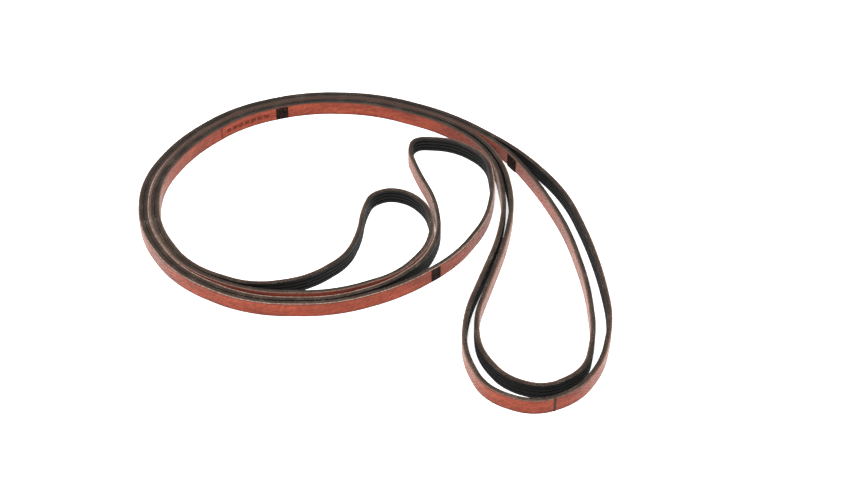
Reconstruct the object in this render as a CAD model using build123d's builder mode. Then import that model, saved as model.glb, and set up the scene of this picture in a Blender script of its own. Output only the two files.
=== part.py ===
"""Endless ribbed rubber drive belt, a four-rib V belt with a fabric back.

The belt stands on its cut edge on a flat surface and is folded the way it is stored: four
turns beside each other round a large loop, with a long bulb and two curls between them.
The middle of its thickness is one closed line, counter-clockwise seen from above, with the
ribs on the inside of it. Every layer of the belt is that line moved outwards or inwards.

Millimetres. +Z up, Z = 0 the surface, origin under the middle of the belt's bounding box.
"""

import os
from math import cos, radians, tan

from build123d import *

# Belt section
BELT_WIDTH = 6.35
BELT_THICKNESS = 2.2
FABRIC_THICKNESS = 0.5
TIE_GUM_THICKNESS = 0.1
CUSHION_GUM_THICKNESS = 0.55

# Ribs, and the V grooves between them
RIB_COUNT = 4
RIB_HEIGHT = 0.85
RIB_TIP_WIDTH = 0.75
GROOVE_FLOOR_WIDTH = 0.2

# Tension cord, two turns over each rib
CORD_COUNT = 2 * RIB_COUNT
CORD_DIAMETER = 0.45

# Glued butt seam across the fabric, placed by its distance along the middle line
SEAM_AT = 35.5
SEAM_LENGTH = 0.7

# Ink on the fabric, placed by distances along the middle line
INK_THICKNESS = 0.03
MARK_BOTTOM = 0.2
MARK_TOP = 6.15
MARKS = {
    "black_mark_curl": (613.2, 5.0),
    "black_mark_bulb": (1218.0, 6.5),
    "black_mark_loop": (2244.0, 5.8),
}
LINE_AT = 2211.5
LINE_LENGTH = 0.5
DASHES_FROM = 2216.0
DASH_PITCH = 3.4
DASH_COUNT = 7
DASH_LENGTH = 2.4
DASH_BOTTOM = 2.3
DASH_TOP = 4.1

# Route of the middle line. An arc takes this share of the shorter run beside its corner.
ARC_SHARE = 0.45

# Corners of the large loop's outermost turn, each with the spacing of the turns inside it
LOOP_CENTRE = (-18.4, 29.3)
OUTER_TURN = [
    (36.6, 88.3, 2.7), (2.6, 104.3, 2.5), (-31.4, 105.8, 2.5), (-63.4, 93.3, 2.5),
    (-86.4, 67.3, 2.45), (-98.8, 35.3, 2.4), (-95.6, 1.0, 2.4), (-77.4, -30.0, 2.4),
]
BULB_OUTSIDE = [
    (65.1, -107.0), (82.2, -99.3), (92.6, -82.7), (98.1, -57.7),
    (96.6, -30.7), (93.1, -5.7), (85.6, 27.3), (67.1, 58.8),
]
LARGE_CURL = [
    (-46.4, -48.7), (-11.4, -49.0), (14.6, -38.0), (37.6, -18.0), (50.9, 7.3), (54.6, 29.3),
    (52.9, 52.8), (38.1, 66.8), (19.6, 68.3), (17.6, 57.3), (21.6, 41.8), (29.1, 20.3),
    (30.9, -1.7), (25.1, -20.7), (9.6, -36.7), (-12.4, -46.2), (-45.7, -46.0),
]
BULB_INSIDE = [
    (60.4, 62.3), (75.1, 30.6), (84.9, 0.3), (90.3, -35.7), (90.6, -65.7), (85.6, -88.2),
    (69.6, -98.4), (54.7, -92.4), (45.3, -76.3), (44.5, -56.7), (58.4, -7.7), (62.6, 19.3),
    (59.9, 46.3), (50.4, 68.3),
]
SMALL_CURL = [
    (-44.4, -42.0), (-11.4, -41.9), (14.1, -29.7), (25.5, -12.5), (28.2, 2.3), (25.6, 16.3),
    (18.6, 25.6), (9.6, 29.1), (1.3, 24.8), (-1.9, 12.3), (-2.9, -1.7), (-7.4, -17.7),
    (-22.4, -32.5), (-45.4, -37.7),
]
NECK = [
    (47.6, 66.8), (56.8, 46.3), (59.1, 18.3), (55.4, -6.7), (40.8, -53.7), (39.2, -76.5),
    (46.8, -98.3),
]

# Distances of the layers' faces from the middle line, outwards positive
BACK_FACE = BELT_THICKNESS / 2
FABRIC_INSIDE = BACK_FACE - FABRIC_THICKNESS
TIE_GUM_INSIDE = FABRIC_INSIDE - TIE_GUM_THICKNESS
CORD_LINE = TIE_GUM_INSIDE - CORD_DIAMETER / 2
GUM_INSIDE = TIE_GUM_INSIDE - CUSHION_GUM_THICKNESS
RIB_TIPS = -BELT_THICKNESS / 2
GROOVE_FLOORS = RIB_TIPS + RIB_HEIGHT

RIB_PITCH = BELT_WIDTH / RIB_COUNT
CORD_PITCH = BELT_WIDTH / CORD_COUNT
CORD_HEIGHTS = [CORD_PITCH * (index + 0.5) for index in range(CORD_COUNT)]

UP = Vector(0, 0, 1)


def turn_of_loop(turn):
    """Corners of one turn of the large loop, 0 outermost, each moved towards the centre."""
    corners = []
    for x, y, spacing in OUTER_TURN:
        corner = Vector(x, y)
        inwards = (Vector(*LOOP_CENTRE) - corner).normalized()
        corners.append(corner + inwards * turn * spacing)
    return corners


def route_corners():
    """Corners of the middle line, once round the whole belt."""
    corners = BULB_OUTSIDE + turn_of_loop(0)
    corners += LARGE_CURL + turn_of_loop(1)[::-1]
    corners += BULB_INSIDE + turn_of_loop(2)
    corners += SMALL_CURL + turn_of_loop(3)[::-1]
    corners += NECK
    return [Vector(*corner) for corner in corners]


def moved_route(distance):
    """Corners and arc radii of the middle line moved outwards by a distance."""
    corners = route_corners()
    moved = []
    radii = []
    for index, corner in enumerate(corners):
        run_in = corner - corners[index - 1]
        run_out = corners[(index + 1) % len(corners)] - corner
        half_turn = radians(run_in.get_signed_angle(run_out, UP)) / 2
        outwards = (run_in.normalized() + run_out.normalized()).normalized().cross(UP)
        radius = ARC_SHARE * min(run_in.length, run_out.length) / tan(abs(half_turn))
        moved.append(corner + outwards * (distance / cos(half_turn)))
        radii.append(radius + distance if half_turn > 0 else radius - distance)
    return moved, radii


def belt_line(distance):
    """The closed line at a distance from the middle line, as one wire."""
    corners, radii = moved_route(distance)
    with BuildLine() as line:
        FilletPolyline(*corners, radius=radii, close=True)
    return line.wire()


def belt_band(inside, outside):
    """The flat band between two distances from the middle line."""
    with BuildSketch() as band:
        make_face(belt_line(outside))
        make_face(belt_line(inside), mode=Mode.SUBTRACT)
    return band.sketch


MIDDLE_LINE = belt_line(0)
ALONG_BELT = MIDDLE_LINE % 0
# Plane across the belt at the start of the line: X towards the ribs, Y up
ACROSS_BELT = Plane(origin=MIDDLE_LINE @ 0, x_dir=UP.cross(ALONG_BELT), z_dir=ALONG_BELT)
FABRIC_BAND = belt_band(FABRIC_INSIDE, BACK_FACE)
INK_BAND = belt_band(BACK_FACE, BACK_FACE + INK_THICKNESS)


def stretch_of(band, distance, length):
    """The stretch of a band whose middle is at a distance along the middle line."""
    spot = MIDDLE_LINE.position_at(distance, position_mode=PositionMode.LENGTH)
    heading = MIDDLE_LINE.tangent_angle_at(distance, position_mode=PositionMode.LENGTH)
    with BuildSketch() as stretch:
        add(band)
        with Locations(Location((spot.X, spot.Y), heading)):
            Rectangle(length, 1.5 * BELT_THICKNESS, mode=Mode.INTERSECT)
    return stretch.sketch


def rib_outline():
    """Outline of the ribbed rubber in the plane across the belt, from the bottom up."""
    outline = [(-GUM_INSIDE, 0), (-RIB_TIPS, 0)]
    for groove in range(1, RIB_COUNT):
        middle = RIB_PITCH * groove
        mouth = (RIB_PITCH - RIB_TIP_WIDTH) / 2
        floor = GROOVE_FLOOR_WIDTH / 2
        outline.append((-RIB_TIPS, middle - mouth))
        outline.append((-GROOVE_FLOORS, middle - floor))
        outline.append((-GROOVE_FLOORS, middle + floor))
        outline.append((-RIB_TIPS, middle + mouth))
    return outline + [(-RIB_TIPS, BELT_WIDTH), (-GUM_INSIDE, BELT_WIDTH)]


os.makedirs("parts", exist_ok=True)

# Woven backing fabric, cut across at its seam
with BuildPart() as backing_fabric:
    with BuildSketch():
        add(FABRIC_BAND)
        add(stretch_of(FABRIC_BAND, SEAM_AT, SEAM_LENGTH), mode=Mode.SUBTRACT)
    extrude(amount=BELT_WIDTH)
backing_fabric.part.label = "backing_fabric"
export_step(backing_fabric.part, "parts/backing_fabric.step")

# Line of glue that joins the two ends of the fabric
with BuildPart() as fabric_seam:
    with BuildSketch():
        add(stretch_of(FABRIC_BAND, SEAM_AT, SEAM_LENGTH))
    extrude(amount=BELT_WIDTH)
fabric_seam.part.label = "fabric_seam"
export_step(fabric_seam.part, "parts/fabric_seam.step")

# Gum that ties the fabric to the cord
with BuildPart() as tie_gum:
    with BuildSketch():
        add(belt_band(TIE_GUM_INSIDE, FABRIC_INSIDE))
    extrude(amount=BELT_WIDTH)
tie_gum.part.label = "tie_gum"
export_step(tie_gum.part, "parts/tie_gum.step")

# Turns of the tension cord
for turn, height in enumerate(CORD_HEIGHTS, start=1):
    with BuildPart() as tension_cord:
        with BuildSketch(ACROSS_BELT):
            with Locations((-CORD_LINE, height)):
                Circle(CORD_DIAMETER / 2)
        sweep(path=MIDDLE_LINE)
    tension_cord.part.label = f"tension_cord_turn_{turn}"
    export_step(tension_cord.part, f"parts/tension_cord_turn_{turn}.step")

# Gum between and under the turns of cord, with a bed for each turn
with BuildPart() as cushion_gum:
    with BuildSketch(ACROSS_BELT):
        with Locations((-(GUM_INSIDE + TIE_GUM_INSIDE) / 2, BELT_WIDTH / 2)):
            Rectangle(CUSHION_GUM_THICKNESS, BELT_WIDTH)
        with Locations(*[(-CORD_LINE, height) for height in CORD_HEIGHTS]):
            Rectangle(CORD_DIAMETER, CORD_DIAMETER, mode=Mode.SUBTRACT)
    sweep(path=MIDDLE_LINE)
cushion_gum.part.label = "cushion_gum"
export_step(cushion_gum.part, "parts/cushion_gum.step")

# Black rubber with the ribs that grip the pulley
with BuildPart() as ribbed_rubber:
    with BuildSketch(ACROSS_BELT):
        with BuildLine():
            Polyline(*rib_outline(), close=True)
        make_face()
    sweep(path=MIDDLE_LINE)
ribbed_rubber.part.label = "ribbed_rubber"
export_step(ribbed_rubber.part, "parts/ribbed_rubber.step")

# Black measuring marks across the fabric
for name, (distance, length) in MARKS.items():
    with BuildPart() as black_mark:
        with BuildSketch(Plane.XY.offset(MARK_BOTTOM)):
            add(stretch_of(INK_BAND, distance, length))
        extrude(amount=MARK_TOP - MARK_BOTTOM)
    black_mark.part.label = name
    export_step(black_mark.part, f"parts/{name}.step")

# Thin line across the fabric where the row of dashes starts
with BuildPart() as printed_line:
    with BuildSketch(Plane.XY.offset(MARK_BOTTOM)):
        add(stretch_of(INK_BAND, LINE_AT, LINE_LENGTH))
    extrude(amount=MARK_TOP - MARK_BOTTOM)
printed_line.part.label = "printed_line"
export_step(printed_line.part, "parts/printed_line.step")

# Row of plain dashes along the middle of the fabric
with BuildPart() as printed_dashes:
    with BuildSketch(Plane.XY.offset(DASH_BOTTOM)):
        for dash in range(DASH_COUNT):
            add(stretch_of(INK_BAND, DASHES_FROM + dash * DASH_PITCH, DASH_LENGTH))
    extrude(amount=DASH_TOP - DASH_BOTTOM)
printed_dashes.part.label = "printed_dashes"
export_step(printed_dashes.part, "parts/printed_dashes.step")
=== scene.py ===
"""The ribbed drive belt's looks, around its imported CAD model.

Lengths are in millimetres, except for the stage, which is in metres.
"""

import math

import bpy
import numpy as np
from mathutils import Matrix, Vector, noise


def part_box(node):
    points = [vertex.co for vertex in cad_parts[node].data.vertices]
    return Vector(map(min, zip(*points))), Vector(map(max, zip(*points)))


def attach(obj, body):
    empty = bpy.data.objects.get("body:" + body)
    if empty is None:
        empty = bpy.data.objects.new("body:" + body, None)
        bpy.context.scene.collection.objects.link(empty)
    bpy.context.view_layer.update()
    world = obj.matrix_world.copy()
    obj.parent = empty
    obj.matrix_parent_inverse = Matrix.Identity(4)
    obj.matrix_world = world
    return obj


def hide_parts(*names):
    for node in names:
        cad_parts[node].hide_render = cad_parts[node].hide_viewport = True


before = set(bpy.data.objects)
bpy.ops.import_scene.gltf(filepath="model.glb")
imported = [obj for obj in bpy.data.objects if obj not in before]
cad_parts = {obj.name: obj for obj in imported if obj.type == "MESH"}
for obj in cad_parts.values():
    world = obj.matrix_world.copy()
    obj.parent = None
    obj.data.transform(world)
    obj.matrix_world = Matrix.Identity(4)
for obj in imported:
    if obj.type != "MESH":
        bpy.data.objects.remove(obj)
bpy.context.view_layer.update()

MM = 0.001

# The belt's section
BELT_WIDTH = 6.35
BELT_THICKNESS = 2.2
FABRIC_THICKNESS = 0.5
GUM_THICKNESS = 0.65
RIB_COUNT = 4
RIB_HEIGHT = 0.85
RIB_TIP_WIDTH = 0.75
GROOVE_FLOOR_WIDTH = 0.2
BACK_FACE = BELT_THICKNESS / 2
FABRIC_INSIDE = BACK_FACE - FABRIC_THICKNESS
GUM_INSIDE = FABRIC_INSIDE - GUM_THICKNESS
RIB_TIPS = -BELT_THICKNESS / 2

# Wear and unevenness that the CAD model leaves out
FABRIC_RIPPLE = 0.03
FABRIC_EDGE_ROUND = 0.05
FABRIC_TOP_FRAY = 0.06
FABRIC_FOOT_FRAY = 0.05
RIB_ROUND = 0.08
RIB_WEAR = 0.06
RUBBER_CUT_FLAW = 0.03

# The weave: distance between threads, and the angle at which they cross the belt's length
THREAD_PITCH = 0.62
THREAD_ANGLE = math.radians(52)

# The stage, in metres
FLOOR_REACH = 6.0
FLOOR_GLOW = 0.6
CAMERA_AIM = (0.0236, -0.0077)
CAMERA_DISTANCE = 0.7
CAMERA_ELEVATION = math.radians(38)
CAMERA_LENS = 71.15

# The belt's route, the same corners as the CAD model's. An outer turn's corner ends with the
# distance from turn to turn there.
ARC_SHARE = 0.45
LOOP_CENTRE = (-18.4, 29.3)
OUTER_TURN = [
    (36.6, 88.3, 2.7), (2.6, 104.3, 2.5), (-31.4, 105.8, 2.5), (-63.4, 93.3, 2.5),
    (-86.4, 67.3, 2.45), (-98.8, 35.3, 2.4), (-95.6, 1.0, 2.4), (-77.4, -30.0, 2.4),
]
BULB_OUTSIDE = [
    (65.1, -107.0), (82.2, -99.3), (92.6, -82.7), (98.1, -57.7),
    (96.6, -30.7), (93.1, -5.7), (85.6, 27.3), (67.1, 58.8),
]
LARGE_CURL = [
    (-46.4, -48.7), (-11.4, -49.0), (14.6, -38.0), (37.6, -18.0), (50.9, 7.3), (54.6, 29.3),
    (52.9, 52.8), (38.1, 66.8), (19.6, 68.3), (17.6, 57.3), (21.6, 41.8), (29.1, 20.3),
    (30.9, -1.7), (25.1, -20.7), (9.6, -36.7), (-12.4, -46.2), (-45.7, -46.0),
]
BULB_INSIDE = [
    (60.4, 62.3), (75.1, 30.6), (84.9, 0.3), (90.3, -35.7), (90.6, -65.7), (85.6, -88.2),
    (69.6, -98.4), (54.7, -92.4), (45.3, -76.3), (44.5, -56.7), (58.4, -7.7), (62.6, 19.3),
    (59.9, 46.3), (50.4, 68.3),
]
SMALL_CURL = [
    (-44.4, -42.0), (-11.4, -41.9), (14.1, -29.7), (25.5, -12.5), (28.2, 2.3), (25.6, 16.3),
    (18.6, 25.6), (9.6, 29.1), (1.3, 24.8), (-1.9, 12.3), (-2.9, -1.7), (-7.4, -17.7),
    (-22.4, -32.5), (-45.4, -37.7),
]
NECK = [
    (47.6, 66.8), (56.8, 46.3), (59.1, 18.3), (55.4, -6.7), (40.8, -53.7), (39.2, -76.5),
    (46.8, -98.3),
]

# The meshes: distance between stations along the belt, how often the stations' line is smoothed,
# rows of points up the fabric's face, and the angle from which an edge is shaded sharp
STATION = 0.5
SMOOTHING_PASSES = 8
FABRIC_FACE_ROWS = 14
SHARP_ANGLE = math.radians(35)


def rgb(red, green, blue):
    """An sRGB colour from 0 to 255, in the linear values that shaders use."""
    levels = [level / 255 for level in (red, green, blue)]
    linear = [v / 12.92 if v <= 0.04045 else ((v + 0.055) / 1.055) ** 2.4 for v in levels]
    return (*linear, 1.0)


FABRIC_DEEP = rgb(103, 39, 26)
FABRIC_BRIGHT = rgb(138, 59, 39)
FABRIC_DUSTY = rgb(146, 84, 64)
FABRIC_DARK = rgb(52, 24, 18)
RUBBER_DEEP = rgb(6, 6, 5)
RUBBER_WORN = rgb(16, 15, 14)
RUBBER_DUSTY = rgb(30, 28, 26)
RUBBER_FIBRE = rgb(64, 58, 50)
EDGE_DEEP = rgb(14, 10, 7)
EDGE_WORN = rgb(44, 31, 22)
EDGE_THREAD = rgb(104, 90, 78)
GUM_DEEP = rgb(24, 17, 13)
GUM_WORN = rgb(64, 46, 35)
GUM_THREAD = rgb(104, 84, 72)
FRAY_DEEP = rgb(42, 31, 26)
FRAY_PALE = rgb(82, 61, 52)
FRAY_LIT_PALE = rgb(144, 120, 108)
INK_DEEP = rgb(5, 5, 4)
INK_WORN = rgb(62, 37, 28)
CORD_SHADE = rgb(176, 164, 140)
CORD_PALE = rgb(222, 214, 194)
GLUE_BROWN = rgb(70, 32, 22)
FADED_DEEP = rgb(76, 32, 22)
FADED_WORN = rgb(122, 54, 37)
SHEEN_TINT = rgb(243, 238, 228)
MATT_SPECULAR = 0.15
INK_SPECULAR = 0.04


def turn_of_loop(turn):
    """Corners of one turn of the large loop, 0 outermost."""
    corners = []
    for x, y, spacing in OUTER_TURN:
        inwards = np.array(LOOP_CENTRE) - (x, y)
        inwards = inwards / np.linalg.norm(inwards)
        corners.append(tuple(np.array((x, y)) + inwards * turn * spacing))
    return corners


def route_corners():
    """Corners of the belt's middle line, counter-clockwise, once round the whole belt."""
    corners = BULB_OUTSIDE + turn_of_loop(0)
    corners += LARGE_CURL + turn_of_loop(1)[::-1]
    corners += BULB_INSIDE + turn_of_loop(2)
    corners += SMALL_CURL + turn_of_loop(3)[::-1]
    corners += NECK
    return np.array(corners)


def middle_line():
    """Points close together along the middle line: straight runs joined by tangent arcs."""
    corners = route_corners()
    runs_in = corners - np.roll(corners, 1, axis=0)
    runs_out = np.roll(corners, -1, axis=0) - corners
    line = []
    for corner, run_in, run_out in zip(corners, runs_in, runs_out):
        length_in = np.linalg.norm(run_in)
        length_out = np.linalg.norm(run_out)
        along = run_in / length_in
        ahead = run_out / length_out
        turn = math.atan2(along[0] * ahead[1] - along[1] * ahead[0], along @ ahead)
        reach = ARC_SHARE * min(length_in, length_out)
        radius = reach / math.tan(abs(turn) / 2)
        side = math.copysign(1, turn) * np.array((-along[1], along[0]))
        centre = corner - along * reach + side * radius
        steps = max(4, int(radius * abs(turn) / STATION))
        for step in range(steps + 1):
            angle = turn * step / steps
            spoke = corner - along * reach - centre
            line.append(centre + (
                spoke[0] * math.cos(angle) - spoke[1] * math.sin(angle),
                spoke[0] * math.sin(angle) + spoke[1] * math.cos(angle)))
    return np.array(line)


def stations():
    """Evenly spaced points on the middle line, outward directions, distances along it and its length."""
    line = middle_line()
    closed = np.vstack([line, line[:1]])
    distance = np.concatenate([[0], np.cumsum(np.linalg.norm(np.diff(closed, axis=0), axis=1))])
    count = int(distance[-1] / STATION)
    along = np.arange(count) * distance[-1] / count
    points = np.stack([np.interp(along, distance, closed[:, axis]) for axis in (0, 1)], axis=1)
    for _ in range(SMOOTHING_PASSES):
        points = 0.5 * points + 0.25 * (np.roll(points, 1, axis=0) + np.roll(points, -1, axis=0))
    ahead = np.roll(points, -1, axis=0) - np.roll(points, 1, axis=0)
    ahead /= np.linalg.norm(ahead, axis=1)[:, None]
    outwards = np.stack([ahead[:, 1], -ahead[:, 0]], axis=1)
    return points, outwards, along, distance[-1]


POINTS, OUTWARDS, ALONG, BELT_LENGTH = stations()


def station_near(place):
    """Number of the station nearest a place in the model."""
    return int(np.argmin(np.linalg.norm(POINTS - place, axis=1)))


def wander(seed, scale):
    """Smooth noise from -1 to 1 at each station, which joins up after the belt's full length.

    Scale is the length of belt over which it changes.
    """
    angle = 2 * math.pi * ALONG / BELT_LENGTH
    radius = BELT_LENGTH / (2 * math.pi * scale)
    return np.array([
        noise.noise((radius * math.cos(a), radius * math.sin(a), seed)) for a in angle])


def rounded(outline, radius):
    """A closed outline with each corner replaced by three points of a small round."""
    points = []
    for index, corner in enumerate(outline):
        corner = np.array(corner, float)
        before = np.array(outline[index - 1]) - corner
        after = np.array(outline[(index + 1) % len(outline)]) - corner
        start = corner + before / np.linalg.norm(before) * radius
        end = corner + after / np.linalg.norm(after) * radius
        points += [tuple(start), tuple((start + end + 2 * corner) / 4), tuple(end)]
    return points


def section_rows(section, count):
    """A section's offsets and heights repeated for each station, and lengths round it."""
    section = np.array(section)
    closed = np.vstack([section, section[:1]])
    lengths = np.concatenate([[0], np.cumsum(np.linalg.norm(np.diff(closed, axis=0), axis=1))])
    offsets = np.tile(section[:, 0], (count, 1))
    heights = np.tile(section[:, 1], (count, 1))
    return offsets, heights, lengths


def swept_mesh(name, offsets, heights, section_lengths, span=None):
    """A piece along the belt: offsets and heights in rows of stations and columns of the section.

    It goes round the whole belt, or along a span of stations with a face across each end. Its UV
    map holds the distances along the belt and round the section.
    """
    columns = offsets.shape[1]
    first, last = span or (0, len(POINTS))
    count = last - first
    xy = POINTS[first:last, None] + OUTWARDS[first:last, None] * offsets[:, :, None]
    vertices = np.dstack([xy, heights]).reshape(-1, 3) * MM
    here = np.arange(count if span is None else count - 1)
    ahead = (here + 1) % count
    side = np.arange(columns)
    beside = (side + 1) % columns
    corners = [
        row[:, None] * columns + column
        for row, column in ((here, side), (ahead, side), (ahead, beside), (here, beside))]
    faces = np.stack(corners, axis=2).reshape(-1, 4).tolist()
    step = BELT_LENGTH / len(POINTS)
    u = ALONG[first] + np.stack([here, here + 1, here + 1, here], axis=1) * step
    v = np.stack([section_lengths[:-1]] * 2 + [section_lengths[1:]] * 2, axis=1)
    uv = np.dstack([np.repeat(u, columns, axis=0), np.tile(v, (len(here), 1))]).reshape(-1, 2)
    if span is not None:
        faces.append(list(range(columns)))
        faces.append(list(range((count - 1) * columns, count * columns))[::-1])
        uv = np.vstack([uv, np.zeros((2 * columns, 2))])
    mesh = bpy.data.meshes.new(name)
    mesh.from_pydata(vertices.tolist(), [], faces)
    layer = mesh.uv_layers.new(name="belt")
    layer.data.foreach_set("uv", uv.astype(np.float32).ravel())
    mesh.validate()
    mesh.update()
    piece = bpy.data.objects.new(name, mesh)
    bpy.context.scene.collection.objects.link(piece)
    return piece


def finish_piece(piece, material, node):
    """Gives a piece its material and shading, the CAD node it stands for and the body it rides on."""
    piece.data.materials.append(material)
    piece.data.polygons.foreach_set("use_smooth", [True] * len(piece.data.polygons))
    piece.data.set_sharp_from_angle(angle=SHARP_ANGLE)
    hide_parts(node)
    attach(piece, "root")


def cover_columns(piece, material, columns):
    """Gives a second material to the faces that begin at the marked columns of a section."""
    piece.data.materials.append(material)
    marks = np.tile(np.array(columns, int), len(POINTS))
    piece.data.polygons.foreach_set("material_index", marks.tolist())


class Recipe:
    """A node material being put together."""

    def __init__(self, name):
        self.material = bpy.data.materials.new(name)
        self.material.use_nodes = True
        self.tree = self.material.node_tree
        self.shader = self.tree.nodes["Principled BSDF"]

    def feed(self, socket, source):
        """Links a socket to a source, or sets its number or colour."""
        if isinstance(source, bpy.types.NodeSocket):
            self.tree.links.new(source, socket)
        else:
            socket.default_value = source

    def math(self, operation, first, second=0.0):
        node = self.tree.nodes.new("ShaderNodeMath")
        node.operation = operation
        self.feed(node.inputs[0], first)
        self.feed(node.inputs[1], second)
        return node.outputs[0]

    def belt_place(self):
        """Distance along the belt and round its section, in millimetres."""
        node = self.tree.nodes.new("ShaderNodeUVMap")
        node.uv_map = "belt"
        return self.component(node.outputs["UV"], "X"), self.component(node.outputs["UV"], "Y")

    def object_place(self):
        """Place in the model, in millimetres."""
        node = self.tree.nodes.new("ShaderNodeTexCoord")
        scale = self.tree.nodes.new("ShaderNodeVectorMath")
        scale.operation = "SCALE"
        self.tree.links.new(node.outputs["Object"], scale.inputs[0])
        scale.inputs["Scale"].default_value = 1 / MM
        return scale.outputs[0]

    def component(self, vector, axis):
        """One of a vector's numbers: X, Y or Z."""
        node = self.tree.nodes.new("ShaderNodeSeparateXYZ")
        self.tree.links.new(vector, node.inputs[0])
        return node.outputs[axis]

    def noise(self, vector, scale, detail, roughness=0.55):
        node = self.tree.nodes.new("ShaderNodeTexNoise")
        self.tree.links.new(vector, node.inputs["Vector"])
        node.inputs["Scale"].default_value = scale
        node.inputs["Detail"].default_value = detail
        node.inputs["Roughness"].default_value = roughness
        return node.outputs["Fac"]

    def stretched(self, along, across, stretch):
        """A vector for noise, squeezed along the belt so that the noise runs in streaks along it."""
        node = self.tree.nodes.new("ShaderNodeCombineXYZ")
        self.feed(node.inputs["X"], self.math("DIVIDE", along, stretch))
        self.feed(node.inputs["Y"], across)
        return node.outputs[0]

    def between(self, source, low, high):
        """0 where the source is at low, 1 where it is at high, and never below 0 or above 1."""
        node = self.tree.nodes.new("ShaderNodeMapRange")
        self.feed(node.inputs["Value"], source)
        node.inputs["From Min"].default_value = low
        node.inputs["From Max"].default_value = high
        return node.outputs["Result"]

    def ramp(self, source, start, end):
        """A number that goes from start to end as the source goes from 0 to 1."""
        return self.math("ADD", start, self.math("MULTIPLY", source, end - start))

    def mix(self, share, first, second):
        """Two colours mixed: only the first at a share of 0, only the second at 1."""
        node = self.tree.nodes.new("ShaderNodeMix")
        node.data_type = "RGBA"
        self.feed(node.inputs[0], share)
        self.feed(node.inputs[6], first)
        self.feed(node.inputs[7], second)
        return node.outputs[2]

    def bump(self, height, depth, strength):
        node = self.tree.nodes.new("ShaderNodeBump")
        node.inputs["Strength"].default_value = strength
        node.inputs["Distance"].default_value = depth * MM
        self.tree.links.new(height, node.inputs["Height"])
        self.tree.links.new(node.outputs["Normal"], self.shader.inputs["Normal"])

    def set(self, **sockets):
        """Feeds the shader's sockets, named with underscores for spaces."""
        for name, source in sockets.items():
            self.feed(self.shader.inputs[name.replace("_", " ")], source)


def on_second_turn(recipe, along):
    """1 along the loop's second turn from outside, which lies back to back with the third.

    It fades in from 60 to 30 mm before the turn, and out over the turn's last 20 mm.
    """
    second_turn = turn_of_loop(1)[::-1]
    start = ALONG[station_near(second_turn[0])]
    end = ALONG[station_near(second_turn[-1])]
    return recipe.math("MINIMUM", recipe.between(along, start - 60.0, start - 30.0),
                       recipe.between(along, end, end - 20.0))


def woven_threads(recipe, along, up):
    """Places across the two sets of threads, and the weave's height from -1 to 1."""
    run = recipe.math("MULTIPLY", along, math.cos(THREAD_ANGLE))
    rise = recipe.math("MULTIPLY", up, math.sin(THREAD_ANGLE))
    warp = recipe.math("ADD", run, rise)
    weft = recipe.math("SUBTRACT", run, rise)
    waves = [
        recipe.math("SINE", recipe.math("MULTIPLY", across, 2 * math.pi / THREAD_PITCH))
        for across in (warp, weft)]
    return warp, weft, recipe.math("MAXIMUM", *waves)


def painted_border_shade(recipe, along, up):
    """How much painted shade darkens the fabric towards its cut edges: at the foot, where it stands on
    the floor, and at the brow, darkest on the second turn, which lies back to back with the third.
    """
    # Painted shade along the foot, where the fabric stands on the floor
    foot = recipe.math("MULTIPLY", recipe.between(up, 0.8, 0.0), 0.85)
    brow = recipe.between(up, BELT_WIDTH - 0.6, BELT_WIDTH - 0.1)
    # Painted shade at the brow, strongest where the second turn lies back to back with the third
    second_turn_shade = recipe.ramp(on_second_turn(recipe, along), 0.35, 0.95)
    return recipe.math("MAXIMUM", foot, recipe.math("MULTIPLY", brow, second_turn_shade))


def fabric_material():
    """Bias-cut woven terracotta fabric with rubber worked into it, painted shade in the weave's hollows
    and painted shade along its cut edges.
    """
    recipe = Recipe("woven_terracotta_fabric")
    along, up = recipe.belt_place()
    warp, weft, weave = woven_threads(recipe, along, up)
    patches = recipe.noise(recipe.stretched(along, up, 6.0), scale=0.28, detail=4.0)
    streaks = recipe.noise(recipe.stretched(along, up, 14.0), scale=2.6, detail=5.0)
    grit = recipe.noise(recipe.stretched(along, up, 1.4), scale=5.0, detail=2.0)
    mottle = recipe.noise(recipe.stretched(warp, weft, 2.2), scale=0.9, detail=3.0)
    colour = recipe.mix(recipe.between(patches, 0.36, 0.64), FABRIC_DEEP, FABRIC_BRIGHT)
    colour = recipe.mix(recipe.between(streaks, 0.5, 0.8), colour, FABRIC_DUSTY)
    rubbed_in = recipe.math("MULTIPLY", recipe.between(mottle, 0.44, 0.72), 0.55)
    specks = recipe.between(grit, 0.6, 0.78)
    # Painted shade in the hollows between the threads
    weave_hollow_shade = recipe.math("MULTIPLY", recipe.between(weave, 0.2, -0.6), 0.4)
    for share in (rubbed_in, specks, weave_hollow_shade, painted_border_shade(recipe, along, up)):
        colour = recipe.mix(share, colour, FABRIC_DARK)
    recipe.set(Base_Color=colour, Roughness=recipe.ramp(streaks, 0.62, 0.87))
    recipe.set(Specular_IOR_Level=MATT_SPECULAR)
    recipe.set(Sheen_Weight=0.62, Sheen_Roughness=0.26, Sheen_Tint=SHEEN_TINT)
    height = recipe.math("ADD", weave, recipe.math("MULTIPLY", grit, 0.8))
    recipe.bump(height, depth=0.06, strength=0.8)
    return recipe.material


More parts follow.
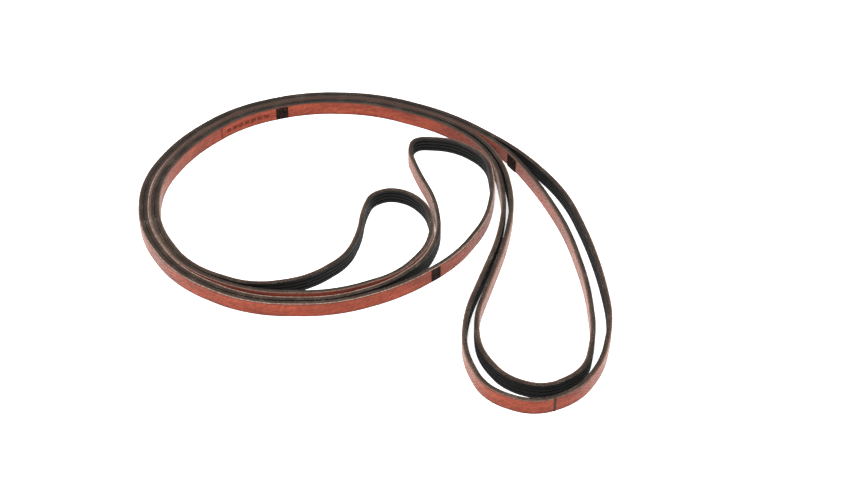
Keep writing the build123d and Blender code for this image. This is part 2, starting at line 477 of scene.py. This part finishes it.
def frayed_edge_material():
    """Cut edge of the fabric: thread ends, with pale ones brightened by painted light towards the front,
    most on the second turn.
    """
    recipe = Recipe("frayed_fabric_edge")
    place = recipe.object_place()
    along, _ = recipe.belt_place()
    broad = recipe.noise(place, scale=0.03, detail=3.0)
    fine = recipe.noise(place, scale=3.5, detail=5.0, roughness=0.7)
    ends = recipe.noise(place, scale=1.3, detail=4.0)
    colour = recipe.mix(recipe.between(fine, 0.3, 0.7), FRAY_DEEP, FRAY_PALE)
    # Painted light: pale thread ends show paler towards the front, and most on the second turn
    depth = recipe.math("ADD", recipe.component(place, "Y"), recipe.math("MULTIPLY", broad, 80.0))
    lit_pale_ends = recipe.math("MULTIPLY", recipe.between(depth, 125.0, 70.0), recipe.between(ends, 0.3, 0.6))
    share = recipe.ramp(on_second_turn(recipe, along), 0.35, 1.0)
    colour = recipe.mix(recipe.math("MULTIPLY", lit_pale_ends, share), colour, FRAY_LIT_PALE)
    recipe.set(Base_Color=colour, Roughness=recipe.between(fine, -1.4, 1.2))
    recipe.set(Specular_IOR_Level=MATT_SPECULAR)
    recipe.bump(recipe.math("ADD", fine, ends), depth=0.08, strength=0.8)
    return recipe.material


def rubber_material():
    """Ground black rubber with fine marks along the belt and specks of chopped fibre."""
    recipe = Recipe("ground_black_rubber")
    along, around = recipe.belt_place()
    grind = recipe.noise(recipe.stretched(along, around, 30.0), scale=7.0, detail=6.0, roughness=0.7)
    dust = recipe.noise(recipe.stretched(along, around, 5.0), scale=0.5, detail=4.0)
    fibre = recipe.noise(recipe.stretched(along, around, 0.7), scale=9.0, detail=1.0)
    colour = recipe.mix(recipe.between(grind, 0.4, 0.75), RUBBER_DEEP, RUBBER_WORN)
    colour = recipe.mix(recipe.between(dust, 0.55, 0.85), colour, RUBBER_DUSTY)
    colour = recipe.mix(recipe.between(fibre, 0.72, 0.8), colour, RUBBER_FIBRE)
    recipe.set(Base_Color=colour, Roughness=recipe.between(grind, -0.9, 1.3))
    recipe.set(Specular_IOR_Level=MATT_SPECULAR)
    height = recipe.math("ADD", grind, recipe.math("MULTIPLY", fibre, 0.4))
    recipe.bump(height, depth=0.05, strength=0.7)
    return recipe.material


def cut_edge_material(name, deep, worn, thread):
    """Edge cut by the slitting knife: fine marks, pale thread ends, and painted shade that makes it
    darker towards the back.
    """
    recipe = Recipe(name)
    place = recipe.object_place()
    broad = recipe.noise(place, scale=0.12, detail=5.0)
    fine = recipe.noise(place, scale=3.5, detail=5.0, roughness=0.7)
    ends = recipe.noise(place, scale=2.2, detail=3.0)
    colour = recipe.mix(recipe.between(fine, 0.3, 0.7), deep, worn)
    crowded = recipe.math("ADD", recipe.math("MULTIPLY", broad, 0.5), ends)
    colour = recipe.mix(recipe.between(crowded, 0.8, 1.0), colour, thread)
    # Painted shade: the edge darkens towards the back of the frame
    depth = recipe.between(recipe.component(place, "Y"), -60.0, 100.0)
    colour = recipe.mix(recipe.math("MULTIPLY", depth, 0.45), colour, deep)
    recipe.set(Base_Color=colour, Roughness=recipe.between(fine, -1.2, 1.2))
    recipe.set(Specular_IOR_Level=MATT_SPECULAR)
    recipe.bump(fine, depth=0.06, strength=0.7)
    return recipe.material


def ink_material(name, deep, worn):
    """Printing ink that has sunk between the threads."""
    recipe = Recipe(name)
    place = recipe.object_place()
    wear = recipe.noise(place, scale=1.1, detail=5.0, roughness=0.7)
    grain = recipe.noise(place, scale=4.5, detail=3.0)
    colour = recipe.mix(recipe.between(wear, 0.49, 0.68), deep, worn)
    recipe.set(Base_Color=colour, Roughness=recipe.between(grain, -1.0, 1.4))
    recipe.set(Specular_IOR_Level=INK_SPECULAR)
    recipe.bump(grain, depth=0.05, strength=0.6)
    return recipe.material


def cord_material():
    """Twisted polyester yarn."""
    recipe = Recipe("twisted_polyester_yarn")
    strands = recipe.noise(recipe.object_place(), scale=6.0, detail=4.0)
    colour = recipe.mix(recipe.between(strands, 0.3, 0.7), CORD_SHADE, CORD_PALE)
    recipe.set(Base_Color=colour, Roughness=recipe.between(strands, -1.5, 1.4))
    recipe.bump(strands, depth=0.08, strength=0.8)
    return recipe.material


def glue_material():
    """Dark cured glue squeezed out of the butt seam."""
    recipe = Recipe("dark_seam_glue")
    lumps = recipe.noise(recipe.object_place(), scale=2.5, detail=4.0)
    colour = recipe.mix(recipe.between(lumps, 0.35, 0.7), INK_DEEP, GLUE_BROWN)
    recipe.set(Base_Color=colour, Roughness=recipe.between(lumps, -0.4, 1.3))
    recipe.set(Specular_IOR_Level=MATT_SPECULAR)
    recipe.bump(lumps, depth=0.08, strength=0.8)
    return recipe.material


def woven_back():
    """The backing fabric, with slightly uneven cut edges and a face that isn't quite flat."""
    section = [(FABRIC_INSIDE, 0.0)]
    section += [(BACK_FACE, height) for height in np.linspace(0, BELT_WIDTH, FABRIC_FACE_ROWS)]
    section += [(FABRIC_INSIDE, BELT_WIDTH)]
    offsets, heights, lengths = section_rows(section, len(POINTS))
    foot = 1
    brow = FABRIC_FACE_ROWS
    ripple = wander(1.5, scale=2.2)[:, None] * np.sin(np.linspace(0, math.pi, FABRIC_FACE_ROWS))
    offsets[:, foot:brow + 1] -= FABRIC_RIPPLE + FABRIC_RIPPLE * ripple
    offsets[:, [foot, brow]] -= FABRIC_EDGE_ROUND
    top = wander(3.5, scale=1.1) + 0.6 * wander(7.5, scale=0.55)
    heights[:, brow] -= FABRIC_TOP_FRAY + FABRIC_TOP_FRAY * np.clip(top, -1, 1)
    bottom = wander(5.5, scale=1.3)
    heights[:, foot] += FABRIC_FOOT_FRAY + FABRIC_FOOT_FRAY * np.clip(bottom, -1, 1)
    piece = swept_mesh("woven_back", offsets, heights, lengths - FABRIC_THICKNESS)
    finish_piece(piece, fabric_material(), "backing_fabric")
    is_cut_edge = np.isin(np.arange(len(section)), (0, brow))
    cover_columns(piece, frayed_edge_material(), is_cut_edge)


def rib_outline():
    """Section of the ribbed body from the gum at the bottom, round the ribs, to the top."""
    pitch = BELT_WIDTH / RIB_COUNT
    floor = RIB_TIPS + RIB_HEIGHT
    mouth = (pitch - RIB_TIP_WIDTH) / 2
    outline = [(GUM_INSIDE, 0.0), (RIB_TIPS, 0.0)]
    for groove in range(1, RIB_COUNT):
        middle = pitch * groove
        outline.append((RIB_TIPS, middle - mouth))
        outline.append((floor, middle - GROOVE_FLOOR_WIDTH / 2))
        outline.append((floor, middle + GROOVE_FLOOR_WIDTH / 2))
        outline.append((RIB_TIPS, middle + mouth))
    return outline + [(RIB_TIPS, BELT_WIDTH), (GUM_INSIDE, BELT_WIDTH)]


def ribbed_body():
    """The black rubber, its ribs rounded by grinding and worn a little unevenly."""
    offsets, heights, lengths = section_rows(rounded(rib_outline(), RIB_ROUND), len(POINTS))
    tips = offsets[0] < RIB_TIPS + 1.25 * RIB_ROUND
    wear = 0.5 + 0.5 * wander(11.5, scale=4.0)
    offsets[:, tips] += RIB_WEAR * wear[:, None]
    top = heights[0] > BELT_WIDTH - 0.01
    heights[:, top] -= (RUBBER_CUT_FLAW + RUBBER_CUT_FLAW * wander(13.5, scale=1.5))[:, None]
    piece = swept_mesh("ribbed_body", offsets, heights, lengths)
    finish_piece(piece, rubber_material(), "ribbed_rubber")
    edge = cut_edge_material("knife_cut_rubber_edge", EDGE_DEEP, EDGE_WORN, EDGE_THREAD)
    # Cut edges are the level faces at the bottom, and at the top with the rounds beside them
    height = heights[0]
    outermost = (height > BELT_WIDTH - 0.2) | (height < 0.02)
    level = np.abs(height - np.roll(height, -1)) < 0.1
    cover_columns(piece, edge, outermost & np.roll(outermost, -1) & level)


def seam_line():
    """The line of glue across the fabric at its butt seam."""
    low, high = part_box("fabric_seam")
    middle = np.array((low.x + high.x, low.y + high.y)) / 2 / MM
    nearest = station_near(middle)
    span = (nearest - 1, nearest + 2)
    section = [
        (FABRIC_INSIDE, 0.0), (BACK_FACE, 0.0), (BACK_FACE, BELT_WIDTH), (FABRIC_INSIDE, BELT_WIDTH)]
    offsets, heights, lengths = section_rows(section, span[1] - span[0])
    piece = swept_mesh("seam_line", offsets, heights, lengths, span)
    finish_piece(piece, glue_material(), "fabric_seam")


def dress_cad_nodes():
    """Materials for the CAD nodes that stay, by the start of their names."""
    gum = cut_edge_material("gum_edge", GUM_DEEP, GUM_WORN, GUM_THREAD)
    materials = {
        "tie_gum": gum,
        "cushion_gum": gum,
        "black_mark": ink_material("black_printing_ink", INK_DEEP, INK_WORN),
        "printed": ink_material("faded_printing_ink", FADED_DEEP, FADED_WORN),
        "tension_cord": cord_material(),
    }
    for name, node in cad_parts.items():
        for start, material in materials.items():
            if name.startswith(start):
                for material_slot in node.material_slots:
                    material_slot.material = material


def plain_floor():
    """A pale floor, much larger than the belt."""
    mesh = bpy.data.meshes.new("floor")
    corners = [
        (x * FLOOR_REACH, y * FLOOR_REACH, 0) for x, y in ((-1, -1), (1, -1), (1, 1), (-1, 1))]
    mesh.from_pydata(corners, [], [(0, 1, 2, 3)])
    floor = bpy.data.objects.new("floor", mesh)
    bpy.context.scene.collection.objects.link(floor)
    recipe = Recipe("plain_white_floor")
    recipe.set(Base_Color=(0.92, 0.92, 0.92, 1.0), Roughness=0.9)
    recipe.set(Emission_Color=(1.0, 1.0, 1.0, 1.0), Emission_Strength=FLOOR_GLOW)
    mesh.materials.append(recipe.material)


def area_light(name, place, size, power):
    """A round lamp that shines towards the middle of the frame."""
    data = bpy.data.lights.new(name, "AREA")
    data.shape = "DISK"
    data.size = size
    data.energy = power
    lamp = bpy.data.objects.new(name, data)
    lamp.location = place
    x, y, z = place
    lamp.rotation_euler = (math.atan2(math.hypot(x, y), z), 0, math.atan2(-y, -x) - math.pi / 2)
    bpy.context.scene.collection.objects.link(lamp)


def studio_light():
    """Soft white light from all round, with a little more from above and in front."""
    world = bpy.data.worlds.new("studio")
    world.use_nodes = True
    background = world.node_tree.nodes["Background"]
    background.inputs["Color"].default_value = (1.0, 1.0, 1.0, 1.0)
    background.inputs["Strength"].default_value = 1.5
    bpy.context.scene.world = world
    area_light("key", place=(-0.5, -0.9, 1.3), size=1.4, power=20.0)
    area_light("fill", place=(0.9, 0.3, 1.2), size=1.2, power=8.0)


def camera():
    """Looks down from the front at a point of the floor inside the folded belt, as the photo does."""
    data = bpy.data.cameras.new("camera")
    data.sensor_width = 36.0
    data.lens = CAMERA_LENS
    data.clip_start = 0.01
    eye = bpy.data.objects.new("camera", data)
    eye.location = (
        CAMERA_AIM[0],
        CAMERA_AIM[1] - CAMERA_DISTANCE * math.cos(CAMERA_ELEVATION),
        CAMERA_DISTANCE * math.sin(CAMERA_ELEVATION),
    )
    eye.rotation_euler = (math.pi / 2 - CAMERA_ELEVATION, 0, 0)
    bpy.context.scene.collection.objects.link(eye)
    bpy.context.scene.camera = eye


camera()
studio_light()
plain_floor()
woven_back()
seam_line()
ribbed_body()
dress_cad_nodes()
bpy.context.scene.view_settings.view_transform = "Standard"
